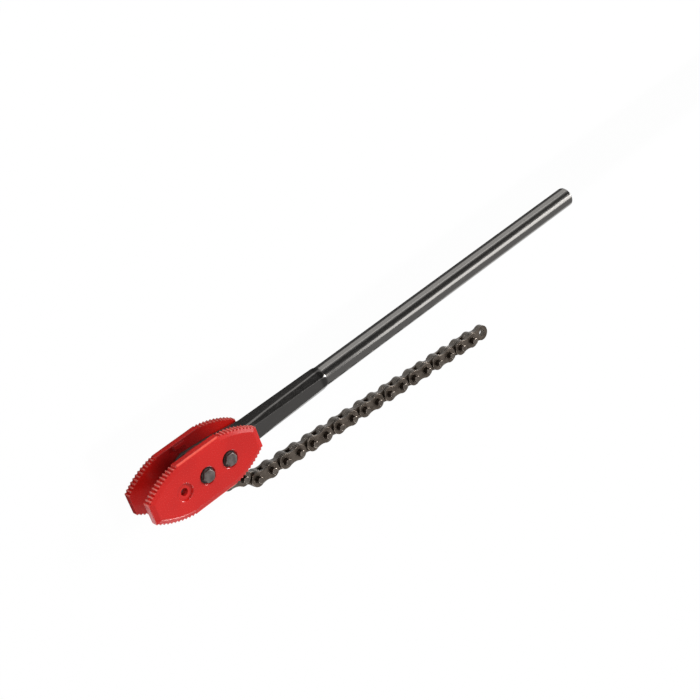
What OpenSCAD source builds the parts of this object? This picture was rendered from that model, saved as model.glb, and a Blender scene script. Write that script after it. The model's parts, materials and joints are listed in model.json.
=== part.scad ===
// Double-ended chain wrench, lying on its side: two toothed jaws bolted to a forged bar handle, with
// a leaf chain that swings from an anchor link on the middle bolt. Its long pins catch behind the
// jaws' lugs. Millimetres. X runs along the handle, Y across the jaws, Z along the bolts; the origin
// is the axis of the open front bolt hole, halfway between the jaws.

/* [Jaws] */
// Length of a jaw, from end to end
jaw_len = 138; // [128:1:150]
// Height of a jaw between its two straight edges
jaw_h = 59; // [55:1:70]
// Thickness of a jaw
jaw_t = 10.2; // [8:0.2:13]
// Length of each straight edge
straight_len = 53; // [48:1:58]
// Distance from one bolt hole to the next
hole_pitch = 29; // [28:0.5:34]
// Radius of the toothed edges, over the tooth tips
arc_r = 92; // [84:1:110]
// Angle at which a toothed edge leaves its straight edge
arc_start = 8; // [5:0.5:11]
// Teeth on each of a jaw's four toothed edges
teeth = 11; // [6:1:14]
// Depth of a tooth
tooth_depth = 2.2; // [1:0.1:3]
// Width of the bevel round a jaw's outer face
bevel_w = 5.6; // [3:0.1:7]
// Depth of that bevel at the edge
bevel_depth = 1.8; // [1:0.1:3]
// Diameter of the round seat sunk round each bolt hole
seat_d = 17.6; // [16.5:0.1:20]
// Depth of that seat
seat_depth = 2; // [0.5:0.1:3]
// Length of each chain lug along the jaw
lug_len = 15; // [10:1:20]
// Height of each chain lug
lug_h = 4.6; // [3:0.1:6]
// How far a lug stays below the straight edge
lug_inset = 0.8; // [0.4:0.1:2]
// Slope of a lug's ends
lug_draft = 1.2; // [0.5:0.1:2]
// How far the pin ends reach behind a lug
lug_catch = 1.4; // [0.8:0.1:2.5]

/* [Handle] */
// Diameter of the round grip
grip_d = 23.6; // [20:0.2:23.8]
// Length of the round grip
grip_len = 413; // [250:1:600]
// Length of the forged eight-sided shank behind the jaws
shank_len = 105; // [70:1:160]
// Side of the eight-sided shank, flat to flat, where it meets the grip
shank_w = 24; // [23.8:0.2:28]
// Corner cut of the shank where it meets the grip
shank_corner = 6.6; // [5:0.1:7]
// Height of the shank where it leaves the jaws
neck_h = 23.6; // [20:0.2:28]
// Thickness of the shank where it leaves the jaws
neck_w = 24.4; // [22:0.2:26]
// Corner cut of the shank where it leaves the jaws
neck_corner = 4.1; // [2:0.1:6]
// Length over which the shank's corners run out into the grip
runout_len = 7; // [3:0.5:12]
// Height of that run-out above the grip
runout_rise = 1.6; // [1:0.1:3]
// Radius of the forked head round the middle bolt
head_r = 17.5; // [15:0.5:19]
// Edge break of the grip's end
grip_chamfer = 1.8; // [0.5:0.1:4]

/* [Bolts] */
// Diameter of the bolts
bolt_d = 8; // [7:0.5:9]
// Hexagon of the bolt heads, flat to flat
bolt_af = 12.5; // [12:0.5:14]
// Height of the low bolt heads
bolt_head_h = 3.2; // [2.8:0.1:5]
// Outer diameter of the lock washers
washer_d = 14.2; // [14:0.1:16]
// Thickness of the lock washers
washer_t = 1.5; // [1.2:0.1:2.5]
// Gap in the lock washers' ring
washer_gap = 1.6; // [0.8:0.1:3]

/* [Chain] */
// Distance from one chain pin to the next
pitch = 19.05; // [18.5:0.05:22]
// Pairs of an outer and an inner link
link_pairs = 10; // [5:1:10]
// Diameter of the outer plates' round ends
outer_plate_d = 17; // [15:0.1:17.8]
// Diameter of the inner plates' round ends
inner_plate_d = 17.6; // [15:0.1:17.8]
// Width of the plates at the waist
waist_w = 13; // [11:0.1:14]
// Thickness of the plates
plate_t = 3.1; // [2.5:0.1:3.5]
// Diameter of the chain pins
pin_d = 8; // [6:0.1:9]
// How far the pins stand out of the outer plates
pin_over = 5.2; // [3.5:0.1:6]
// Edge break of the pin ends
pin_edge = 0.8; // [0.3:0.1:1.5]

/* [Anchor link] */
// Distance of the first chain pin beyond the reach of the lugs
anchor_over = 8.4; // [2:0.1:12]
// Thickness of the anchor link in the fork
anchor_t = 12; // [9:0.5:13]
// Diameter of the anchor link's eye on the middle bolt
anchor_eye_d = 20.6; // [19:0.2:24]
// Width of the anchor link's arm
anchor_w = 10; // [8:0.2:11]
// Outer diameter of the sleeve that the anchor link turns on
sleeve_d = 12; // [11:0.5:13]

/* [Chain as it lies] */
// Direction of the anchor link
anchor_dir = -53; // [-60:0.1:-52]
// Direction of the first link
first_dir = -21; // [-30:0.1:-15]
// Direction of the second link
second_dir = -37; // [-45:0.1:-30]
// Direction of the straight run
run_dir = -4.9; // [-10:0.1:-3]

/* [Fits] */
// Radial clearance of a bolt, pin or sleeve in the hole it turns in
turn_clear = 0.05; // [0.02:0.01:0.1]
// Clearance beside faces that slide on each other
side_clear = 0.1; // [0.05:0.05:0.2]
// Clearance between the chain pins and each jaw
jaw_clear = 1.65; // [0.5:0.05:2.5]
// Clearance between the chain and what it swings past
swing_clear = 0.7; // [0.5:0.1:1.5]
// Turn that the anchor link has left towards the handle
swing_back = 3; // [1:1:4]

/* [Hidden] */
$fn = 64;
over = 1;
bolt_hole_d = bolt_d + 2 * turn_clear;
middle_x = hole_pitch;
rear_x = 2 * hole_pitch;

// The chain's layers, from the middle outwards
inner_in = side_clear / 2;
inner_out = inner_in + plate_t;
outer_in = inner_out + side_clear;
outer_out = outer_in + plate_t;
pin_half = outer_out + pin_over;
jaw_gap = 2 * (pin_half + jaw_clear);
jaw_in = jaw_gap / 2;
jaw_out = jaw_in + jaw_t;
seat_z = jaw_out - seat_depth;
lug_in = pin_half - lug_catch;

// Jaw outline: each toothed edge starts at a low corner with its straight edge
jaw_rear_x = middle_x + jaw_len / 2;
arc_x = straight_len / 2 - arc_r * sin(arc_start);
arc_y = jaw_h / 2 - arc_r * cos(arc_start);
arc_end = acos((jaw_len / 2 - arc_x) / arc_r);
lug_top = jaw_h / 2 - lug_inset;
lug_reach = norm([lug_len / 2, lug_top]);

// Handle stations along X, and the fork slot, deep enough for the anchor link's arm at its limit
slot_w = anchor_t + 2 * side_clear;
limit_dir = -anchor_dir - swing_back;
arm_half = anchor_w / 2 + swing_clear;
slot_depth = (head_r + arm_half * cos(limit_dir)) / tan(limit_dir) + arm_half * sin(limit_dir);
slot_x = middle_x + slot_depth;
root_x = rear_x + bolt_d;
root_h = neck_h + (2 * head_r - neck_h) * (jaw_rear_x - root_x) / (jaw_rear_x - middle_x);
root_corner = 0.6;
grip_x = jaw_rear_x + shank_len;
handle_end = grip_x + grip_len;

// Chain joints: joint 0 is the middle bolt, joint 1 the anchor link's far eye
anchor_len = lug_reach + pin_d / 2 + anchor_over;
shoulder_x = anchor_len - outer_plate_d / 2 - swing_clear;
function link_dir(k) = k == 0 ? anchor_dir : k == 1 ? first_dir : k == 2 ? second_dir : run_dir;
function link_len(k) = k == 0 ? anchor_len : pitch;
function joint_at(k) =
    k == 0 ? [middle_x, 0] : joint_at(k - 1) + link_len(k - 1) * [cos(link_dir(k - 1)), sin(link_dir(k - 1))];

function two_digits(n) = n < 10 ? str("0", n) : str(n);
function numbered(word) = [for (i = [1:link_pairs]) str(word, two_digits(i))];

paint_red = "#c5202a";
handle_black = "#232322";
bolt_grey = "#55524f";
chain_brown = "#4f4840";
sleeve_steel = "#8a857c";

// Tips and roots of one toothed edge, from the straight edge to the jaw's end
function tooth_points() = [for (i = [0:2 * teeth])
    let (first = 90 - arc_start, angle = first + (arc_end - first) * i / (2 * teeth),
         r = arc_r - (i % 2) * tooth_depth)
    [arc_x + r * cos(angle), arc_y + r * sin(angle)]];
function reversed(points) = [for (i = [len(points) - 1:-1:0]) points[i]];
function flipped(points, sx, sy) = [for (p = points) [sx * p.x, sy * p.y]];

module jaw_outline() {
    quarter = tooth_points();
    polygon(concat(quarter, reversed(flipped(quarter, 1, -1)), flipped(quarter, -1, -1),
                   reversed(flipped(quarter, -1, 1))));
}

// What the bevel takes off an edge that lies at x = edge, with the outer face at y = 0
module bevel_profile(edge) {
    slope = [bevel_w, -bevel_depth];
    top = [edge - bevel_w, 0];
    polygon([top - 0.3 * slope, top + 1.5 * slope, [edge + bevel_w, over], [edge - 1.3 * bevel_w, over]]);
}

module straight_bevel(edge, length) {
    rotate([90, 0, 0]) linear_extrude(length, center = true) bevel_profile(edge);
}

module arc_bevel() {
    intersection() {
        translate([arc_x, arc_y, 0]) rotate_extrude() bevel_profile(arc_r);
        translate([straight_len / 2, 0, -jaw_t]) cube([jaw_len, jaw_h, 2 * jaw_t]);
    }
}

module bevels() {
    for (side = [0, 180]) rotate(side) {
        straight_bevel(jaw_len / 2, jaw_h);
        rotate(90) straight_bevel(jaw_h / 2, straight_len);
        arc_bevel();
        mirror([0, 1, 0]) arc_bevel();
    }
}

module bolt_seat() {
    edge_break = 0.7;
    translate([0, 0, -seat_depth]) cylinder(d = seat_d, h = seat_depth + over);
    translate([0, 0, -edge_break]) cylinder(d1 = seat_d, d2 = seat_d + 4 * edge_break, h = 2 * edge_break);
    translate([0, 0, -jaw_t - over]) cylinder(d = bolt_hole_d, h = jaw_t + 2 * over);
}

// Chain lug on the jaw's inner face, with sloping ends
module lug() {
    half = lug_len / 2;
    translate([0, lug_top, 0]) rotate([90, 0, 0]) linear_extrude(lug_h) polygon([
        [lug_draft - half, lug_in], [half - lug_draft, lug_in], [half, jaw_in], [half, jaw_in + over],
        [-half, jaw_in + over], [-half, jaw_in]]);
}

module jaw() {
    translate([middle_x, 0, 0]) {
        difference() {
            translate([0, 0, jaw_in]) linear_extrude(jaw_t) jaw_outline();
            translate([0, 0, jaw_out]) bevels();
            for (x = [-hole_pitch, 0, hole_pitch]) translate([x, 0, jaw_out]) bolt_seat();
        }
        for (side = [0, 180]) rotate(side) lug();
    }
}

module upper_jaw() { color(paint_red) jaw(); }

module lower_jaw() { color(paint_red) mirror([0, 0, 1]) jaw(); }

module head_outline() {
    translate([middle_x, 0]) circle(head_r);
    polygon([[middle_x, head_r], [root_x + over, root_h / 2], [root_x + over, -root_h / 2], [middle_x, -head_r]]);
}

// Takes the shank's long corners off: little at the root, more at the neck and most at the grip
module corner_cuts() {
    far = 4 * shank_w;
    root = (root_h / 2 + jaw_in - root_corner) / sqrt(2);
    neck = (neck_h / 2 + neck_w / 2 - neck_corner) / sqrt(2);
    tail = (shank_w - shank_corner) / sqrt(2);
    for (turn = [45:90:315]) rotate([turn, 0, 0]) linear_extrude(far, center = true)
        polygon([[root_x, root], [jaw_rear_x, neck], [grip_x, tail], [grip_x, far], [root_x, far]]);
}

// One side of the shank as seen across it: half sizes at the root, the neck and the grip
module shank_side(root, neck, tail) {
    polygon([
        [root_x, root], [jaw_rear_x, neck], [grip_x, tail], [grip_x, -tail], [jaw_rear_x, -neck], [root_x, -root]]);
}

module shank() {
    far = 4 * shank_w;
    difference() {
        intersection() {
            linear_extrude(far, center = true) shank_side(root_h / 2, neck_h / 2, shank_w / 2);
            rotate([90, 0, 0]) linear_extrude(far, center = true) shank_side(jaw_in, neck_w / 2, shank_w / 2);
            rotate([90, 0, 90]) rotate_extrude() polygon([
                [0, 0], [shank_w, 0], [shank_w, grip_x - 2 * runout_len],
                [grip_d / 2 + runout_rise, grip_x - runout_len], [grip_d / 2, grip_x], [0, grip_x]]);
        }
        corner_cuts();
    }
}

module grip() {
    r = grip_d / 2;
    rotate([90, 0, 90]) rotate_extrude() polygon([
        [0, grip_x - over], [r, grip_x - over], [r, handle_end - grip_chamfer],
        [r - grip_chamfer, handle_end], [0, handle_end]]);
}

module handle() {
    color(handle_black) difference() {
        union() {
            translate([0, 0, -jaw_in]) linear_extrude(jaw_gap) head_outline();
            shank();
            grip();
        }
        translate([slot_x - 4 * head_r, -2 * head_r, -slot_w / 2]) cube([4 * head_r, 4 * head_r, slot_w]);
        for (x = [middle_x, rear_x]) translate([x, 0, -jaw_gap]) cylinder(d = bolt_hole_d, h = 2 * jaw_gap);
    }
}

module bolt_head() {
    corner_r = bolt_af / sqrt(3);
    crown = bolt_af * 0.47;
    drop = (corner_r - crown) / 2;
    intersection() {
        cylinder(r = corner_r, h = bolt_head_h, $fn = 6);
        rotate_extrude() polygon([
            [0, 0], [corner_r, 0], [corner_r, bolt_head_h - drop], [crown, bolt_head_h], [0, bolt_head_h]]);
    }
}

module bolt(x) {
    r = bolt_d / 2;
    tip = 0.8;
    under_head = seat_z + washer_t;
    color(bolt_grey) translate([x, 0, 0]) {
        translate([0, 0, under_head]) bolt_head();
        rotate_extrude() polygon([
            [0, -seat_z], [r - tip, -seat_z], [r, tip - seat_z], [r, under_head + over], [0, under_head + over]]);
    }
}

module middle_bolt() { bolt(middle_x); }

module rear_bolt() { bolt(rear_x); }

module lock_washer(x) {
    color(bolt_grey) translate([x, 0, seat_z]) difference() {
        cylinder(d = washer_d, h = washer_t);
        translate([0, 0, -over]) cylinder(d = bolt_hole_d, h = washer_t + 2 * over);
        rotate(-120) translate([0, -washer_gap / 2, -over]) cube([washer_d, washer_gap, washer_t + 2 * over]);
    }
}

module middle_washer() { lock_washer(middle_x); }

module rear_washer() { lock_washer(rear_x); }

module pivot_sleeve() {
    color(sleeve_steel) translate([middle_x, 0, -slot_w / 2]) difference() {
        cylinder(d = sleeve_d, h = slot_w);
        translate([0, 0, -over]) cylinder(d = bolt_hole_d, h = slot_w + 2 * over);
    }
}

// Puts a link's own frame, start joint at the origin and far joint on +X, where link k lies
module at_link(k) {
    translate(joint_at(k)) rotate(link_dir(k)) children();
}

// Forged link with a thick arm in the fork and a thin tongue between the first outer plates
module anchor_link() {
    color(chain_brown) at_link(0) difference() {
        union() {
            translate([0, 0, -anchor_t / 2]) linear_extrude(anchor_t) {
                circle(d = anchor_eye_d);
                translate([0, -anchor_w / 2]) square([shoulder_x, anchor_w]);
            }
            translate([sleeve_d, -anchor_w / 2, -inner_out]) cube([anchor_len - sleeve_d, anchor_w, 2 * inner_out]);
            translate([anchor_len, 0, -inner_out]) cylinder(d = inner_plate_d, h = 2 * inner_out);
        }
        translate([0, 0, -anchor_t]) cylinder(d = sleeve_d + 2 * turn_clear, h = 2 * anchor_t);
        translate([anchor_len, 0, -2 * inner_out]) cylinder(d = pin_d + 2 * turn_clear, h = 4 * inner_out);
    }
}

// Waisted plate: two round ends and a middle drawn in by a round cut on each side
module plate_outline(end_d, hole_d) {
    end_r = end_d / 2;
    cut_r = 1.08 * (pitch ^ 2 / 4 + waist_w ^ 2 / 4 - end_r ^ 2) / (end_d - waist_w);
    difference() {
        union() {
            for (x = [0, pitch]) translate([x, 0]) circle(end_r);
            difference() {
                translate([0, -0.95 * end_r]) square([pitch, 1.9 * end_r]);
                for (side = [-1, 1]) translate([pitch / 2, side * (cut_r + waist_w / 2)]) circle(cut_r);
            }
        }
        for (x = [0, pitch]) translate([x, 0]) circle(d = hole_d);
    }
}

module plate_pair(end_d, hole_d, inner_face) {
    for (z = [inner_face, -inner_face - plate_t])
        translate([0, 0, z]) linear_extrude(plate_t) plate_outline(end_d, hole_d);
}

// Long chain pin, pressed in the outer plates
module pin() {
    r = pin_d / 2;
    rotate_extrude() polygon([
        [0, -pin_half], [r - pin_edge, -pin_half], [r, pin_edge - pin_half], [r, pin_half - pin_edge],
        [r - pin_edge, pin_half], [0, pin_half]]);
}

module at_both_ends() {
    for (x = [0, pitch]) translate([x, 0, 0]) children();
}

module outer_plates(i) { color(chain_brown) at_link(2 * i - 1) plate_pair(outer_plate_d, pin_d, outer_in); }

module pins(i) { color(bolt_grey) at_link(2 * i - 1) at_both_ends() pin(); }

module inner_plates(i) {
    color(chain_brown) at_link(2 * i) plate_pair(inner_plate_d, pin_d + 2 * turn_clear, inner_in);
}

upper_jaw();
lower_jaw();
handle();
middle_bolt();
rear_bolt();
middle_washer();
rear_washer();
pivot_sleeve();
anchor_link();
for (i = [1:link_pairs]) {
    outer_plates(i);
    pins(i);
    inner_plates(i);
}
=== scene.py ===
import json
import math

import bmesh
import bpy
from mathutils import Matrix, Vector


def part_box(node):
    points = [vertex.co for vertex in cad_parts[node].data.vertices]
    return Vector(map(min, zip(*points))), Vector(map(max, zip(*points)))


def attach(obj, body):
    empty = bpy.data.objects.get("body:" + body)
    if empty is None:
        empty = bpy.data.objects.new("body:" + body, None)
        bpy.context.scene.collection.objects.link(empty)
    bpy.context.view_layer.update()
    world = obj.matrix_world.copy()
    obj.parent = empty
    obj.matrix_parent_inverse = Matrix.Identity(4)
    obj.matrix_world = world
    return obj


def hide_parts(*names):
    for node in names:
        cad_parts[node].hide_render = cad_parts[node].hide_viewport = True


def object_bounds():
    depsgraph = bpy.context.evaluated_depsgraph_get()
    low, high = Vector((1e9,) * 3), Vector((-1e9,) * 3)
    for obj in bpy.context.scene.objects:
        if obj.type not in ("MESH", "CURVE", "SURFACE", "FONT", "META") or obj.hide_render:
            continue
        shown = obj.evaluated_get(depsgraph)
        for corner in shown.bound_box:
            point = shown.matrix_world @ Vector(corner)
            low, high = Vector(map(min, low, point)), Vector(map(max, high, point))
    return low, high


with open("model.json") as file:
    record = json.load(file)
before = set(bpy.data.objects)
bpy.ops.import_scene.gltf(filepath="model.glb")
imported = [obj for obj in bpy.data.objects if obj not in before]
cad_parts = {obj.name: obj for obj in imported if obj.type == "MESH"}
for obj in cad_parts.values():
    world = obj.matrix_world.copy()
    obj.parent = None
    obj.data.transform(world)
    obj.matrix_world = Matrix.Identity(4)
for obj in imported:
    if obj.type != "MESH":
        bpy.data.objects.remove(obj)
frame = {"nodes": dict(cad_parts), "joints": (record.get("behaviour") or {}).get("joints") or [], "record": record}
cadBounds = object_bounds()
mm = 0.001
record = frame["record"]
bodyOf = {node: body for body, members in record["behaviour"]["bodies"].items() for node in members}
slotOf = {row["node"]: row["material_slot"] for row in record["subparts"]}
mounts = {row["name"]: row for row in record["mounts"]}
joints = {row["name"]: row for row in frame["joints"]}
print("frame loaded:", len(frame["nodes"]), "nodes")


# Places that several pieces share, in millimetres
def washerX(node):
    low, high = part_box(node)
    return (low.x + high.x) / 2 / mm


boltX = joints["anchor_pivot"]["pos_m"][0] / mm
grip = mounts["handle_grip"]
gripRadius = grip["dims"]["r_mm"]
gripStart = grip["pos_m"][0] / mm - grip["dims"]["length_mm"] / 2
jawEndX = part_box("upper_jaw")[1].x / mm
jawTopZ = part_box("upper_jaw")[1].z / mm


# Shader maths: a Shade wraps one socket of a node tree
class Shade:
    def __init__(self, tree, socket=None):
        self.tree = tree
        self.socket = socket

    def make(self, kind, settings, inputs, output=0):
        node = self.tree.nodes.new("ShaderNode" + kind)
        for key, value in settings.items():
            setattr(node, key, value)
        for key, value in inputs.items():
            if isinstance(value, Shade):
                self.tree.links.new(value.socket, node.inputs[key])
            else:
                node.inputs[key].default_value = value
        return Shade(self.tree, node.outputs[output])

    def maths(self, operation, first, second=0.0):
        return self.make("Math", {"operation": operation}, {0: first, 1: second})

    def __add__(self, other):
        return self.maths("ADD", self, other)

    __radd__ = __add__

    def __sub__(self, other):
        return self.maths("SUBTRACT", self, other)

    def __rsub__(self, other):
        return self.maths("SUBTRACT", other, self)

    def __mul__(self, other):
        return self.maths("MULTIPLY", self, other)

    def __pow__(self, other):
        return self.maths("POWER", self, other)

    def __abs__(self):
        return self.maths("ABSOLUTE", self)

    # 0 below low, 1 above high, smooth between
    def rise(self, low, high):
        settings = {"interpolation_type": "SMOOTHSTEP"}
        return self.make("MapRange", settings, {"Value": self, "From Min": low, "From Max": high})

    # One axis of a vector
    def axis(self, letter):
        return self.make("SeparateXYZ", {}, {0: self}, letter)

    def mixColour(self, factor, first, second):
        settings = {"data_type": "RGBA", "blend_type": "MIX"}
        return self.make("Mix", settings, {0: factor, 6: first, 7: second}, 2)

    # Object coordinates in millimetres, stretched by a factor along each axis
    def millimetres(self, stretch=(1, 1, 1)):
        place = self.make("TexCoord", {}, {}, "Object")
        scale = [1 / (mm * s) for s in stretch]
        return self.make("VectorMath", {"operation": "MULTIPLY"}, {0: place, 1: scale})

    def noise(self, place, size, detail, rough):
        inputs = {"Vector": place, "Scale": 1 / size, "Detail": detail, "Roughness": rough}
        return self.make("TexNoise", {}, inputs)

    def bump(self, height, depth, strength):
        inputs = {"Height": height, "Distance": depth * mm, "Strength": strength}
        return self.make("Bump", {}, inputs)


def rgba(red, green, blue):
    return (red, green, blue, 1.0)


def newMaterial(name, constants):
    material = bpy.data.materials.new(name)
    material.use_nodes = True
    shader = material.node_tree.nodes["Principled BSDF"]
    for socket, value in constants.items():
        shader.inputs[socket].default_value = value
    return material, Shade(material.node_tree)


def plug(material, links):
    tree = material.node_tree
    for socket, shade in links.items():
        tree.links.new(shade.socket, tree.nodes["Principled BSDF"].inputs[socket])


# Red enamel of the jaws. Each noise here and below is a size in millimetres, a detail and a roughness
enamel = {
    "colour": rgba(0.53, 0.008, 0.005),
    "deepColour": rgba(0.38, 0.005, 0.004),
    "deepShare": 0.35,
    "blotch": (38.0, 3.0, 0.5),
    "blotchRise": (0.35, 0.7),
    "peel": (1.1, 2.0, 0.5),
    "peelHeight": 0.25,
    "peelRoughness": 0.12,
    "forging": (9.0, 3.0, 0.6),
    "forgingHeight": 0.75,
    "bumpDepth": 0.16,
    "bumpStrength": 0.7,
    "roughness": 0.20,
    "coat": 0.3,
    "straightHalf": 26.5,
    "straightSoft": 1.0,
    "arcCentre": (13.7, -61.6),
    "arcRadius": 92.0,
    "toothDepth": 2.2,
    "crestDepth": 1.1,
    "crestTop": 0.3,
    # Pale tooth crests: painted highlight together with worn paint
    "crestColour": rgba(0.82, 0.27, 0.23),
    "crestShare": 0.55,
    "scuff": (2.2, 4.0, 0.65),
    "scuffColour": rgba(0.68, 0.14, 0.115),
    "scuffShare": 0.7,
    "wornRise": (0.42, 0.66),
    "wornRoughness": 0.15,
    "bareRise": (0.63, 0.70),
    "bareHeight": 0.3,
    "steelColour": rgba(0.30, 0.27, 0.25),
    "steelShare": 0.8,
    # Painted highlight along the outer corner of the straight edges
    "rubColour": rgba(0.84, 0.11, 0.075),
    "rubShare": 0.75,
    "rubEdge": (27.4, 28.6),
    "rubDepth": (0.8, 1.4),
    "rubEnd": (2.6, 3.4),
    "rubSoft": 2.0,
    # Painted shade on the inner faces between the jaws
    "sootColour": rgba(0.10, 0.003, 0.004),
    "sootFace": (13.4, 14.0),
    "sootReach": (16.0, 56.0),
    "sootFar": 0.12,
    "sootNear": 0.62,
    # Painted shade in the open bore and the bolt seats
    "grimeColour": rgba(0.020, 0.006, 0.005),
    "grimeShare": 0.97,
    "grimeSoft": 0.6,
    "boreRadius": 4.2,
    "seatRadius": 8.8,
    "seatTop": 22.7,
    "seatSoft": 0.7,
}


def redEnamel():
    material, shade = newMaterial("redEnamel", {"IOR": 1.5, "Coat Roughness": 0.12, "Coat IOR": 1.5})
    place = shade.millimetres()
    x, y, z = [place.axis(letter) for letter in "XYZ"]
    fromBolt = abs(x - boltX)
    blotch, peel, forging, scuff = [
        shade.noise(place, *enamel[key]) for key in ("blotch", "peel", "forging", "scuff")]

    # Teeth of the curved ends, worn to pale paint and bare steel; their crests carry a painted highlight together
    # with worn paint
    half, radius = enamel["straightHalf"], enamel["arcRadius"]
    along = fromBolt - enamel["arcCentre"][0]
    across = abs(y) - enamel["arcCentre"][1]
    reach = (along * along + across * across) ** 0.5
    tooth = reach.rise(radius - enamel["toothDepth"], radius - enamel["crestTop"])
    tooth = tooth * fromBolt.rise(half, half + enamel["straightSoft"])
    crestHighlight = tooth * reach.rise(radius - enamel["crestDepth"], radius - enamel["crestTop"])
    worn = tooth * scuff.rise(*enamel["wornRise"])
    bare = tooth * scuff.rise(*enamel["bareRise"])

    # Painted highlight along the outer corner of the straight edges
    depth = jawTopZ - abs(z)
    edgeHighlight = abs(y).rise(*enamel["rubEdge"]) * depth.rise(*enamel["rubDepth"])
    edgeHighlight = edgeHighlight * (1 - depth.rise(*enamel["rubEnd"]))
    edgeHighlight = edgeHighlight * (1 - fromBolt.rise(half - enamel["rubSoft"], half))

    # Painted shade on the inner faces between the jaws, darkest round the fork
    innerShade = enamel["sootFar"] + (1 - fromBolt.rise(*enamel["sootReach"])) * enamel["sootNear"]
    innerShade = (1 - abs(z).rise(*enamel["sootFace"])) * innerShade

    layers = [
        (blotch.rise(*enamel["blotchRise"]) * enamel["deepShare"], enamel["deepColour"]),
        (worn * enamel["scuffShare"], enamel["scuffColour"]),
        (bare * enamel["steelShare"], enamel["steelColour"]),
        (crestHighlight * enamel["crestShare"], enamel["crestColour"]),
        (edgeHighlight * enamel["rubShare"], enamel["rubColour"]),
        (innerShade, enamel["sootColour"]),
    ]

    # Painted shade in the open bore and in the seats under the two bolts
    holes = [(mounts["spare_bolt_hole"]["pos_m"][0] / mm, enamel["boreRadius"])]
    holes += [(washerX(node), enamel["seatRadius"]) for node in ("middle_washer", "rear_washer")]
    for holeX, holeRadius in holes:
        fromHole = ((x - holeX) ** 2.0 + y * y) ** 0.5
        holeShade = 1 - fromHole.rise(holeRadius - enamel["grimeSoft"], holeRadius)
        holeShade = holeShade * (1 - abs(z).rise(enamel["seatTop"] - enamel["seatSoft"], enamel["seatTop"]))
        layers.append((holeShade * enamel["grimeShare"], enamel["grimeColour"]))

    colour = enamel["colour"]
    for share, layerColour in layers:
        colour = shade.mixColour(share, colour, layerColour)
    height = peel * enamel["peelHeight"] + forging * enamel["forgingHeight"] - bare * enamel["bareHeight"]
    plug(material, {
        "Base Color": colour,
        "Roughness": enamel["roughness"] + peel * enamel["peelRoughness"] + worn * enamel["wornRoughness"],
        "Coat Weight": enamel["coat"] - worn * enamel["coat"],
        "Normal": shade.bump(height, enamel["bumpDepth"], enamel["bumpStrength"]),
    })
    return material


# Blackened steel of the handle: the grip is a smooth drawn bar, the forged end is rougher and darker
lacquer = {
    "forgedColour": rgba(0.148, 0.142, 0.135),
    "gripColour": rgba(0.235, 0.226, 0.215),
    "metallic": 0.95,
    "roughness": 0.12,
    "bumpDepth": 0.07,
    "bumpStrength": 0.6,
    "runOut": 5.0,
    "stretch": (6, 1, 1),
    "fleck": (1.6, 4.0, 0.7),
    "fleckColour": rgba(0.36, 0.33, 0.29),
    "fleckRise": (0.56, 0.72),
    "fleckShare": 0.6,
    "fleckHeight": 0.5,
    "fleckRoughness": 0.09,
    "scale": (5.0, 4.0, 0.6),
    "scaleHeight": 0.9,
    "scaleRoughness": 0.18,
    "forkColour": rgba(0.034, 0.018, 0.015),
    "forkEnd": (62.0, 96.0),
    "forkMetallicLoss": 0.75,
    "forkRoughness": 0.4,
    # Painted shade in the hollow where the shank runs out
    "hollowColour": rgba(0.060, 0.057, 0.054),
    "hollowShare": 0.8,
    "hollowStart": (-10.0, -6.0),
    "hollowEnd": (-2.0, 1.0),
}


def blackLacquer():
    material, shade = newMaterial("blackLacquer", {"IOR": 1.5})
    place = shade.millimetres()
    fleck = shade.noise(shade.millimetres(lacquer["stretch"]), *lacquer["fleck"])
    scale = shade.noise(place, *lacquer["scale"])
    x = place.axis("X")
    bar = x.rise(gripStart - lacquer["runOut"], gripStart)
    barFleck = fleck * bar
    forgedScale = scale * (1 - bar)
    fleckShare = fleck.rise(*lacquer["fleckRise"]) * lacquer["fleckShare"]
    barColour = shade.mixColour(fleckShare, lacquer["gripColour"], lacquer["fleckColour"])
    colour = shade.mixColour(bar, lacquer["forgedColour"], barColour)
    # The fork is darker, duller and less metallic, and painted shade darkens the hollow where the shank runs out
    fork = 1 - x.rise(*lacquer["forkEnd"])
    colour = shade.mixColour(fork, colour, lacquer["forkColour"])
    fromGrip = x - gripStart
    hollowShade = fromGrip.rise(*lacquer["hollowStart"]) * (1 - fromGrip.rise(*lacquer["hollowEnd"]))
    colour = shade.mixColour(hollowShade * lacquer["hollowShare"], colour, lacquer["hollowColour"])
    height = barFleck * lacquer["fleckHeight"] + forgedScale * lacquer["scaleHeight"]
    roughness = lacquer["roughness"] + barFleck * lacquer["fleckRoughness"]
    roughness = roughness + forgedScale * lacquer["scaleRoughness"] + fork * lacquer["forkRoughness"]
    plug(material, {
        "Base Color": colour,
        "Metallic": lacquer["metallic"] - fork * lacquer["forkMetallicLoss"],
        "Roughness": roughness,
        "Normal": shade.bump(height, lacquer["bumpDepth"], lacquer["bumpStrength"]),
    })
    return material


# Oiled steel, brown where the oil has dried; used for plates, pins, bolts and the sleeve. The upright rims
# of the plates carry painted shade. Only the tips of the pins are worn; their sides carry painted shade, near
# black
plateFinish = {
    "colour": rgba(0.245, 0.204, 0.168),
    "metallic": 1.0,
    "roughness": 0.24,
    "bumpDepth": 0.05,
    "bumpStrength": 0.6,
    "stain": (7.0, 4.0, 0.6),
    "stainColour": rgba(0.138, 0.112, 0.090),
    "stainRise": (0.35, 0.68),
    "stainHeight": 0.5,
    "stainRoughness": 0.12,
    "grain": (0.7, 3.0, 0.6),
    "grainHeight": 0.5,
    "grainRoughness": 0.08,
}
chainFinish = dict(plateFinish, rimColour=rgba(0.070, 0.066, 0.060), rimShare=0.75, rimSlope=(0.25, 0.75))
pinFinish = dict(
    plateFinish, colour=rgba(0.27, 0.235, 0.20), stainColour=rgba(0.15, 0.125, 0.105),
    sideColour=rgba(0.045, 0.036, 0.03), tipStart=0.5, tipEnd=0.2)
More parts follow.
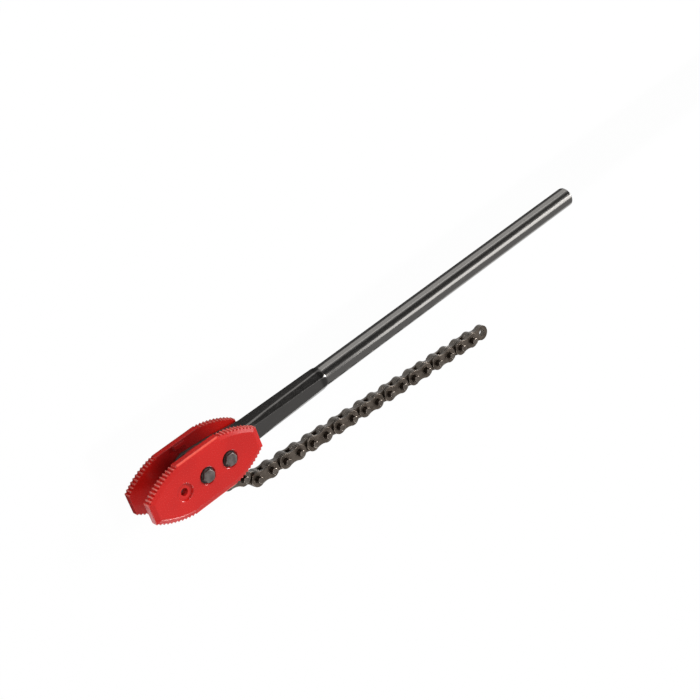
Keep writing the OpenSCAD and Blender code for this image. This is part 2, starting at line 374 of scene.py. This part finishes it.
boltFinish = dict(
    plateFinish, colour=rgba(0.195, 0.167, 0.158), stainColour=rgba(0.115, 0.096, 0.090),
    stain=(4.0, 4.0, 0.6), roughness=0.46)
sleeveFinish = dict(plateFinish, colour=rgba(0.42, 0.39, 0.35), stainColour=rgba(0.25, 0.22, 0.19))


def oiledSteel(name, finish):
    material, shade = newMaterial(name, {"Metallic": finish["metallic"], "IOR": 1.5})
    place = shade.millimetres()
    stain = shade.noise(place, *finish["stain"])
    grain = shade.noise(place, *finish["grain"])
    colour = shade.mixColour(stain.rise(*finish["stainRise"]), finish["colour"], finish["stainColour"])
    # Painted shade on the upright rims of the plates
    if "rimColour" in finish:
        upright = abs(shade.make("TexCoord", {}, {}, "Normal").axis("Z"))
        rimShade = 1 - upright.rise(*finish["rimSlope"])
        colour = shade.mixColour(rimShade * finish["rimShare"], colour, finish["rimColour"])
    # Painted shade, near black, on the sides of the pins
    if "sideColour" in finish:
        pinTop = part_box("pins_01")[1].z / mm
        tip = abs(place.axis("Z")).rise(pinTop - finish["tipStart"], pinTop - finish["tipEnd"])
        colour = shade.mixColour(tip, finish["sideColour"], colour)
    height = grain * finish["grainHeight"] + stain * finish["stainHeight"]
    plug(material, {
        "Base Color": colour,
        "Roughness": finish["roughness"] + stain * finish["stainRoughness"] + grain * finish["grainRoughness"],
        "Normal": shade.bump(height, finish["bumpDepth"], finish["bumpStrength"]),
    })
    return material


finishes = {
    "jaw_red": redEnamel(),
    "handle_black": blackLacquer(),
    "chain_steel": oiledSteel("plateSteel", chainFinish),
    "pin_steel": oiledSteel("pinSteel", pinFinish),
    "bolt_steel": oiledSteel("boltSteel", boltFinish),
    "sleeve_steel": oiledSteel("sleeveSteel", sleeveFinish),
}
print("finishes made:", len(finishes))


# Corners nearer than weldGap millimetres are one, faces turned by less than flatAngle degrees are one,
# and shading runs on over less than smoothAngle degrees
clean = {"weldGap": 0.002, "flatAngle": 0.4, "smoothAngle": 30}


# Normals of each face corner: broad faces stay flat, and the rounds between them take up the turn
def cornerNormals(bm, rounds):
    bm.normal_update()
    near = math.cos(math.radians(clean["smoothAngle"]))
    normals = []
    for face in bm.faces:
        for vert in face.verts:
            close = [f for f in vert.link_faces if f.normal.dot(face.normal) > near]
            broad = [f for f in close if not f[rounds]]
            normals.append(sum((f.normal * f.calc_area() for f in broad or close), Vector()).normalized())
    return normals


# Puts a finished mesh in the scene in place of its CAD node
def addPiece(bm, node, material):
    name = node + ".finished"
    rounds = bm.faces.layers.int.get("rounds")
    normals = cornerNormals(bm, rounds) if rounds else None
    mesh = bpy.data.meshes.new(name)
    bm.to_mesh(mesh)
    bm.free()
    mesh.shade_smooth()
    if normals:
        mesh.attributes.remove(mesh.attributes["rounds"])
        mesh.normals_split_custom_set(normals)
    mesh.materials.append(material)
    piece = bpy.data.objects.new(name, mesh)
    bpy.context.scene.collection.objects.link(piece)
    if not normals:
        evenNormals = piece.modifiers.new("evenNormals", "WEIGHTED_NORMAL")
        evenNormals.keep_sharp = True
    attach(piece, bodyOf[node])
    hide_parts(node)


# Copy of a CAD node with its outward edges rounded, one kind of edge after another
def roundedCopy(node, edge):
    bm = bmesh.new()
    bm.from_mesh(frame["nodes"][node].data)
    bmesh.ops.remove_doubles(bm, verts=bm.verts, dist=clean["weldGap"] * mm)
    flat = math.radians(clean["flatAngle"])
    bmesh.ops.dissolve_limit(bm, angle_limit=flat, verts=bm.verts, edges=bm.edges)
    done = bm.faces.layers.int.new("rounds")
    for radius, lengths, angles, clamp in edge["rounds"]:
        sharp = [
            e for e in bm.edges if not any(f[done] for f in e.link_faces)
            and lengths[0] < e.calc_length() / mm < lengths[1]
            and angles[0] < math.degrees(e.calc_face_angle_signed(0.0)) < angles[1]]
        made = bmesh.ops.bevel(
            bm, geom=sharp, offset=radius * mm, offset_type="OFFSET", segments=edge["segments"],
            profile=0.5, affect="EDGES", clamp_overlap=clamp, material=-1)
        for f in made["faces"]:
            f[done] = 1
    return bm


# Each round is a radius, the lengths of edge that get it, the angles at which an edge is sharp, and
# whether it is narrowed where edges crowd
anyLength = (0.0, 500.0)
plateEdge = {"rounds": [(0.5, anyLength, (40, 180), True)], "segments": 3}
pinEdge = {"rounds": [(0.35, anyLength, (30, 180), True)], "segments": 2}
boltEdge = {"rounds": [(0.22, anyLength, (25, 180), True)], "segments": 2}
linkEdge = {"rounds": [(0.8, anyLength, (40, 180), True)], "segments": 3}
jawEdge = {
    "rounds": [
        (1.3, (40.0, 500.0), (60, 80), False),
        (0.6, (9.0, 500.0), (40, 180), False),
        (0.4, (0.0, 2.5), (43, 47), False),
        (0.8, anyLength, (16, 20), False),
        (0.2, anyLength, (30, 180), True),
    ],
    "segments": 3,
}
edgeOf = {
    "outer": plateEdge, "inner": plateEdge, "pins": pinEdge, "middle": boltEdge, "rear": boltEdge,
    "upper": jawEdge, "lower": jawEdge, "anchor": linkEdge, "pivot": boltEdge,
}

for node in sorted(frame["nodes"]):
    family = node.split("_")[0]
    if family in edgeOf:
        finish = "pin_steel" if family == "pins" else slotOf[node]
        addPiece(roundedCopy(node, edgeOf[family]), node, finishes[finish])
print("rounded pieces made")


# Joins or cuts one mesh with another
def combine(first, second, operation):
    pieces = []
    for bm in (first, second):
        mesh = bpy.data.meshes.new("part")
        bm.to_mesh(mesh)
        bm.free()
        pieces.append(bpy.data.objects.new("part", mesh))
        bpy.context.scene.collection.objects.link(pieces[-1])
    boolean = pieces[0].modifiers.new("combine", "BOOLEAN")
    boolean.operation = operation
    boolean.solver = "EXACT"
    boolean.object = pieces[1]
    result = pieces[0].evaluated_get(bpy.context.evaluated_depsgraph_get()).data
    bm = bmesh.new()
    bm.from_mesh(result)
    for piece in pieces:
        bpy.data.meshes.remove(piece.data)
    return bm


# Handle: a forged fork, an eight-sided shank and a round grip, as rings bridged along X. A half is
# a section's reach along Y, along Z and to its corners; an end ring is an inset and a depth
handleShape = {
    "ring": 144,
    "crisp": 50.0,
    "overshoot": 2,
    "headRadius": 17.5,
    "headHalf": 13.2,
    "headEdge": 0.8,
    "headSegments": 3,
    "noseSteps": 60,
    "slotHalf": 6.1,
    "slotEnd": 51.1,
    "boltHole": 4.05,
    "holeSegments": 64,
    "rootX": 66.0,
    "rootInset": 5.0,
    "rootTaper": 0.06,
    "rootHalf": (14.44, 13.2, 19.1),
    "neckHalf": (11.8, 12.2, 14.07),
    "tailHalf": (12.0, 12.0, 12.3),
    "shankShares": (0.25, 0.5, 0.75, 0.86),
    "runOut": 7.0,
    "runOutRise": 1.6,
    "runOutRings": 8,
    "runOutCurve": 1.5,
    "gripShares": (0.02, 0.25, 0.5, 0.75),
    "endRings": ((2.4, 0.0), (1.8, 0.12), (0.9, 0.9), (0.25, 1.62), (0.0, 2.3)),
}


def sectionRadius(angle, half, limit):
    y, z, corner = half
    c, s = math.cos(angle), math.sin(angle)
    root = math.sqrt(2)
    sides = [abs(c) / y, abs(s) / z, abs(c + s) / root / corner, abs(c - s) / root / corner, 1 / limit]
    return sum(side ** handleShape["crisp"] for side in sides) ** (-1 / handleShape["crisp"])


def blendHalf(first, second, share):
    return tuple(a + (b - a) * share for a, b in zip(first, second))


def addRing(bm, x, half, limit):
    turn = Matrix.Rotation(math.pi / 2, 4, "Y") @ Matrix.Rotation(math.pi / 2, 4, "Z")
    made = bmesh.ops.create_circle(bm, segments=handleShape["ring"], radius=1.0, matrix=turn)["verts"]
    for vert in made:
        r = sectionRadius(math.atan2(vert.co.z, vert.co.y), half, limit)
        vert.co = Vector((x, vert.co.y * r, vert.co.z * r)) * mm
    return list({e for v in made for e in v.link_edges})


def handleBar():
    root, neck, tail = [handleShape[key] for key in ("rootHalf", "neckHalf", "tailHalf")]
    rootX = handleShape["rootX"]
    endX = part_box("handle")[1].x / mm
    wide = 2 * handleShape["overshoot"] * gripRadius
    plain = (wide, wide, wide)
    rounded = gripRadius + handleShape["runOutRise"]
    stations = [
        (rootX - handleShape["rootInset"], blendHalf(root, neck, handleShape["rootTaper"]), wide),
        (rootX, root, wide),
        (jawEndX, neck, wide),
    ]
    for share in handleShape["shankShares"]:
        stations.append((jawEndX + (gripStart - jawEndX) * share, blendHalf(neck, tail, share), wide))
    for step in range(handleShape["runOutRings"]):
        share = step / (handleShape["runOutRings"] - 1)
        limit = rounded + (gripRadius - rounded) * share ** handleShape["runOutCurve"]
        stations.append((gripStart - handleShape["runOut"] * (1 - share), tail, limit))
    for share in handleShape["gripShares"]:
        stations.append((gripStart + (endX - gripStart) * share, plain, gripRadius))
    for inset, depth in handleShape["endRings"]:
        stations.append((endX - inset, plain, gripRadius - depth))
    bm = bmesh.new()
    rings = [addRing(bm, *station) for station in stations]
    for first, second in zip(rings, rings[1:]):
        bmesh.ops.bridge_loops(bm, edges=first + second)
    for ring in (rings[0], rings[-1]):
        bmesh.ops.contextual_create(bm, geom=ring)
    bmesh.ops.recalc_face_normals(bm, faces=bm.faces)
    return bm


# Round nose of the fork, spun about the middle bolt and drawn out to the shank's root
def forkHead():
    half = handleShape["headHalf"]
    bm = bmesh.new()
    start = bm.verts.new(Vector((boltX, handleShape["headRadius"], -half)) * mm)
    arc = bmesh.ops.spin(
        bm, geom=[start], cent=Vector((boltX, 0, 0)) * mm, axis=(0, 0, 1), dvec=(0, 0, 0),
        angle=math.pi, steps=handleShape["noseSteps"], use_merge=False)
    ends = [start] + [item for item in arc["geom_last"] if isinstance(item, bmesh.types.BMVert)]
    corners = []
    for end, side in zip(ends, (1, -1)):
        place = Vector((handleShape["rootX"], side * handleShape["rootHalf"][0], -half)) * mm
        corners.append(bm.verts.new(place))
        bm.edges.new((end, corners[-1]))
    bm.edges.new(corners)
    bmesh.ops.contextual_create(bm, geom=bm.edges)
    grown = bmesh.ops.extrude_face_region(bm, geom=bm.faces[:])["geom"]
    top = [item for item in grown if isinstance(item, bmesh.types.BMVert)]
    bmesh.ops.translate(bm, verts=top, vec=(0, 0, 2 * half * mm))
    bmesh.ops.recalc_face_normals(bm, faces=bm.faces)
    rimShade = [e for e in bm.edges if abs(e.verts[0].co.z - e.verts[1].co.z) < mm]
    bmesh.ops.bevel(
        bm, geom=rimShade, offset=handleShape["headEdge"] * mm, offset_type="OFFSET",
        segments=handleShape["headSegments"], profile=0.5, affect="EDGES", clamp_overlap=True, material=-1)
    return bm


def slotCutter():
    past = handleShape["overshoot"] * handleShape["headRadius"]
    front, back = boltX - past, handleShape["slotEnd"]
    size = Vector((back - front, 2 * past, 2 * handleShape["slotHalf"])) * mm
    place = Matrix.Translation(Vector(((front + back) / 2, 0, 0)) * mm)
    bm = bmesh.new()
    bmesh.ops.create_cube(bm, size=1.0, matrix=place @ Matrix.Diagonal(size.to_4d()))
    return bm


def boltCutter(x):
    radius = handleShape["boltHole"] * mm
    depth = 2 * handleShape["overshoot"] * handleShape["headHalf"] * mm
    bm = bmesh.new()
    bmesh.ops.create_cone(
        bm, cap_ends=True, segments=handleShape["holeSegments"], radius1=radius, radius2=radius,
        depth=depth, matrix=Matrix.Translation((x * mm, 0, 0)))
    return bm


def makeHandle():
    head = combine(forkHead(), slotCutter(), "DIFFERENCE")
    whole = combine(handleBar(), head, "UNION")
    for node in ("middle_washer", "rear_washer"):
        whole = combine(whole, boltCutter(washerX(node)), "DIFFERENCE")
    return whole


addPiece(makeHandle(), "handle", finishes["handle_black"])
print("handle made")


# Floor, lamps, world and camera
stage = {
    "floorSize": 12.0,
    "floorColour": rgba(0.80, 0.80, 0.80),
    "cameraWhite": 0.985,
    "shadeColour": rgba(0.10, 0.10, 0.10),
    "shadeGrip": 34.0,
    "shadeJaw": 66.0,
    "shadeTaper": (-10.0, 60.0),
    "shadeSoft": 14.0,
    "shadeBack": (-34.0, -14.0),
    "shadeFront": (-70.0, -50.0),
    "worldGrey": rgba(0.36, 0.36, 0.365),
    "worldDark": rgba(0.012, 0.012, 0.012),
    "darkToward": (0.46, 0.60, 0.65),
    "darkEdge": (0.90, 0.965),
}


def floorMaterial():
    material = bpy.data.materials.new("paleFloor")
    material.use_nodes = True
    tree = material.node_tree
    tree.nodes.remove(tree.nodes["Principled BSDF"])
    shade = Shade(tree)
    camera, glossy, through = [
        shade.make("LightPath", {}, {}, output)
        for output in ("Is Camera Ray", "Is Glossy Ray", "Is Transmission Ray")]
    # The tool's own shade: a strip along it, wider beside the jaws
    place = shade.millimetres()
    x, y = place.axis("X"), place.axis("Y")
    taper = x.rise(*[jawEndX + offset for offset in stage["shadeTaper"]])
    side = stage["shadeJaw"] + taper * (stage["shadeGrip"] - stage["shadeJaw"])
    clear = y.rise(side, side + stage["shadeSoft"])
    clear = 1 - (1 - clear) * y.rise(*stage["shadeBack"]) * x.rise(*stage["shadeFront"])
    seen = camera * stage["cameraWhite"] + (glossy + through) * clear
    mattColour = shade.mixColour(clear, stage["shadeColour"], stage["floorColour"])
    matt = shade.make("BsdfDiffuse", {}, {"Color": mattColour})
    white = shade.make("Emission", {}, {"Color": rgba(1, 1, 1), "Strength": 1.0})
    both = shade.make("MixShader", {}, {0: seen, 1: matt, 2: white})
    tree.links.new(both.socket, tree.nodes["Material Output"].inputs["Surface"])
    return material


def makeFloor():
    bm = bmesh.new()
    bmesh.ops.create_grid(bm, x_segments=1, y_segments=1, size=stage["floorSize"] / 2)
    bmesh.ops.translate(bm, verts=bm.verts, vec=(0, 0, cadBounds[0].z))
    mesh = bpy.data.meshes.new("floor")
    bm.to_mesh(mesh)
    bm.free()
    mesh.materials.append(floorMaterial())
    floor = bpy.data.objects.new("floor", mesh)
    bpy.context.scene.collection.objects.link(floor)


def makeWorld():
    world = bpy.data.worlds.new("studio")
    bpy.context.scene.world = world
    world.use_nodes = True
    shade = Shade(world.node_tree)
    toward = shade.make("TexCoord", {}, {}, "Generated")
    dark = Vector(stage["darkToward"]).normalized()
    facing = shade.make("VectorMath", {"operation": "DOT_PRODUCT"}, {0: toward, 1: dark}, "Value")
    colour = shade.mixColour(facing.rise(*stage["darkEdge"]), stage["worldGrey"], stage["worldDark"])
    background = world.node_tree.nodes["Background"]
    world.node_tree.links.new(colour.socket, background.inputs["Color"])


# Each lamp stands at a distance in metres from a place on the tool in millimetres
softboxes = {
    "overhead": {
        "at": (290, 0, 0), "toward": (0.70, 0.02, 0.71), "distance": 1.6, "size": (0.62, 0.90), "power": 4.2},
    "key": {
        "at": (30, 0, 22), "toward": (0.87, 0.10, 0.48), "distance": 4.0, "size": (1.0, 1.0), "power": 130.0},
    "fill": {
        "at": (30, 0, 22), "toward": (-0.40, 0.45, 0.80), "distance": 1.6, "size": (1.0, 1.0), "power": 4.0},
    "edge": {
        "at": (30, 0, 0), "toward": (-0.10, 0.88, 0.46), "distance": 2.0, "size": (0.9, 0.5), "power": 14.0},
    "left": {
        "at": (230, -60, 0), "toward": (-0.73, -0.46, 0.50), "distance": 1.6, "size": (0.4, 0.4), "power": 4.0},
    "front": {
        "at": (290, 0, 0), "toward": (0.55, 0.83, 0.11), "distance": 1.5, "size": (0.9, 0.26), "power": 0.9},
    "low": {
        "at": (-20, -24, 22), "toward": (0.19, -0.775, 0.605), "distance": 1.4, "size": (0.20, 0.14),
        "power": 3.0},
}


def makeSoftbox(name, box):
    lamp = bpy.data.lights.new(name, "AREA")
    lamp.shape = "RECTANGLE"
    lamp.size, lamp.size_y = box["size"]
    lamp.energy = box["power"]
    lampObject = bpy.data.objects.new(name, lamp)
    bpy.context.scene.collection.objects.link(lampObject)
    toward = Vector(box["toward"]).normalized()
    lampObject.location = Vector(box["at"]) * mm + toward * box["distance"]
    lampObject.rotation_euler = toward.to_track_quat("Z", "Y").to_euler()


cameraView = {
    "place": (-449.847, 675.795, 1056.144),
    "right": (0.70353, -0.28889, 0.64930),
    "up": (0.51666, 0.83526, -0.18818),
    "lens": 69.01,
    "sensor": 36.0,
    "clipEnd": 50.0,
}


def makeCamera():
    lens = bpy.data.cameras.new("camera")
    lens.sensor_width = cameraView["sensor"]
    lens.lens = cameraView["lens"]
    lens.clip_end = cameraView["clipEnd"]
    camera = bpy.data.objects.new("camera", lens)
    bpy.context.scene.collection.objects.link(camera)
    right, up = Vector(cameraView["right"]), Vector(cameraView["up"])
    axes = Matrix((right, up, right.cross(up))).transposed()
    camera.matrix_world = Matrix.Translation(Vector(cameraView["place"]) * mm) @ axes.to_4x4()
    bpy.context.scene.camera = camera


makeFloor()
makeWorld()
for name, box in softboxes.items():
    makeSoftbox(name, box)
makeCamera()
bpy.context.scene.view_settings.view_transform = "Standard"
print("stage made")
